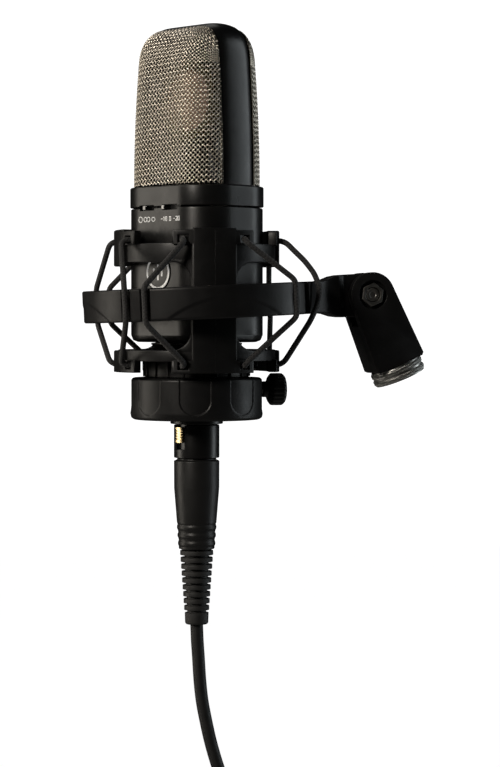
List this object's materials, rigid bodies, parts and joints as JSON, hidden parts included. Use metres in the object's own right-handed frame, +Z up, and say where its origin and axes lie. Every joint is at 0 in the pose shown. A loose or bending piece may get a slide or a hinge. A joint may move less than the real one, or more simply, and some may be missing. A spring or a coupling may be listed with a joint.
{
  "type": "condenser microphone",
  "caption": "Side-address condenser microphone in a cage hung on elastic cords inside a ring, with a tilting stand swivel and a plugged-in coiled lead.",
  "frame": {"origin": "centre of the mouth of the stand thread, in the bottom face of the knurled collar", "axes": "+Z up, along the upright microphone, towards its head; +X from the microphone towards the swivel; +Y away from the front pillar; the stand's axis leans 20 degrees from -Z towards +X"},
  "size_m": [0.1592, 0.099, 0.48],
  "materials": {
    "satin_black": "satin",
    "moulded_black": "fine texture",
    "elastic_cord": "woven",
    "grille_wire": "woven wire",
    "steel": "machined",
    "brass": "lapped",
    "gold_film": "polished",
    "bright_plate": "polished",
    "badge": "satin",
    "board": "matt",
    "rubber": "matt",
    "cable_jacket": "satin"
  },
  "bodies": {
    "stand_collar": {"thread_collar": "steel", "collar_circlip": "steel"},
    "swivel": {"swivel_clevis": "moulded_black", "pivot_nut": "steel", "friction_washer_front": "rubber", "friction_washer_rear": "rubber"},
    "tilt_clamp": {"tilt_knob": "moulded_black", "tilt_bolt": "steel"},
    "yoke": {"yoke_ring": "moulded_black"},
    "cage": {"cage_basket": "moulded_black", "base_cup": "moulded_black", "clamp_liner": "rubber", "cup_screw_1": "steel", "cup_screw_2": "steel", "elastic_arm_left": "elastic_cord", "elastic_arm_right": "elastic_cord", "elastic_rear_left": "elastic_cord", "elastic_rear_right": "elastic_cord", "elastic_outer_left": "elastic_cord", "elastic_outer_right": "elastic_cord", "elastic_front_left": "elastic_cord", "elastic_front_right": "elastic_cord"},
    "clamp_screw": {"clamp_screw": "steel"},
    "clamp_knob": {"clamp_knob": "moulded_black"},
    "microphone": {"grille_front": "grille_wire", "grille_rear": "grille_wire", "head_hoop": "satin_black", "inner_screen": "grille_wire", "capsule_body": "brass", "capsule_ring_front": "brass", "capsule_ring_rear": "brass", "diaphragm_front": "gold_film", "diaphragm_rear": "gold_film", "capsule_saddle": "moulded_black", "capsule_deck": "satin_black", "neck_collar": "satin_black", "body_housing": "satin_black", "badge_plate": "badge", "circuit_board": "board", "output_transformer": "steel", "mic_foot": "satin_black", "foot_insert": "moulded_black", "contact_pin_1": "gold_film", "contact_pin_2": "gold_film", "contact_pin_3": "gold_film", "plug_shell": "satin_black", "plug_insert": "moulded_black", "plug_grip": "moulded_black", "plug_relief": "rubber", "lead_run": "cable_jacket", "lead_coil": "cable_jacket", "lead_tie": "rubber", "lead_tail": "cable_jacket", "far_plug_relief": "rubber", "far_plug_grip": "moulded_black", "far_plug_shell": "satin_black", "far_plug_insert": "bright_plate"},
    "pattern_slider": {"pattern_switch": "bright_plate"},
    "pad_slider": {"pad_switch": "bright_plate"},
    "plug_button": {"plug_latch": "gold_film"}
  },
  "joints": [
    {"name": "swivel_pan", "type": "hinge", "parent": "stand_collar", "child": "swivel", "pos_m": [0, 0, 0], "axis": [-0.3907, 0, 0.9205], "continuous": true},
    {"name": "mount_tilt", "type": "hinge", "parent": "swivel", "child": "yoke", "pos_m": [-0.01508, 0, 0.03553], "axis": [0, 1, 0], "range_deg": [-22, 164]},
    {"name": "tilt_knob_turn", "type": "hinge", "parent": "swivel", "child": "tilt_clamp", "pos_m": [-0.01508, 0, 0.03553], "axis": [0, 1, 0], "range_deg": [0, 720]},
    {"name": "suspension", "type": "slide", "parent": "yoke", "child": "cage", "axis": [0, 0, 1], "range_m": [-0.004, 0.004], "stiffness_N_per_m": 4000, "springref_m": 0.0025, "deforming": ["elastic_arm_left", "elastic_arm_right", "elastic_rear_left", "elastic_rear_right", "elastic_outer_left", "elastic_outer_right", "elastic_front_left", "elastic_front_right"]},
    {"name": "screw_advance", "type": "slide", "parent": "cage", "child": "clamp_screw", "axis": [1, 0, 0], "range_m": [0, 0.0024]},
    {"name": "clamp_knob_turn", "type": "hinge", "parent": "clamp_screw", "child": "clamp_knob", "pos_m": [-0.0899, 0, -0.00467], "axis": [1, 0, 0], "range_deg": [0, 1081]},
    {"name": "mic_turn", "type": "hinge", "parent": "cage", "child": "microphone", "pos_m": [-0.0899, 0, 0.03213], "axis": [0, 0, 1], "continuous": true},
    {"name": "pattern_slide", "type": "slide", "parent": "microphone", "child": "pattern_slider", "axis": [0.5, -0.866, 0], "range_m": [-0.0028, 0.0028]},
    {"name": "pad_slide", "type": "slide", "parent": "microphone", "child": "pad_slider", "axis": [0.5, -0.866, 0], "range_m": [0, 0.0056]},
    {"name": "latch_press", "type": "slide", "parent": "microphone", "child": "plug_button", "axis": [0.866, 0.5, 0], "range_m": [0, 0.0008], "stiffness_N_per_m": 1500}
  ],
  "couplings": [
    {"joint": "clamp_knob_turn", "follows": "screw_advance", "rad_per_m": 7854}
  ]
}
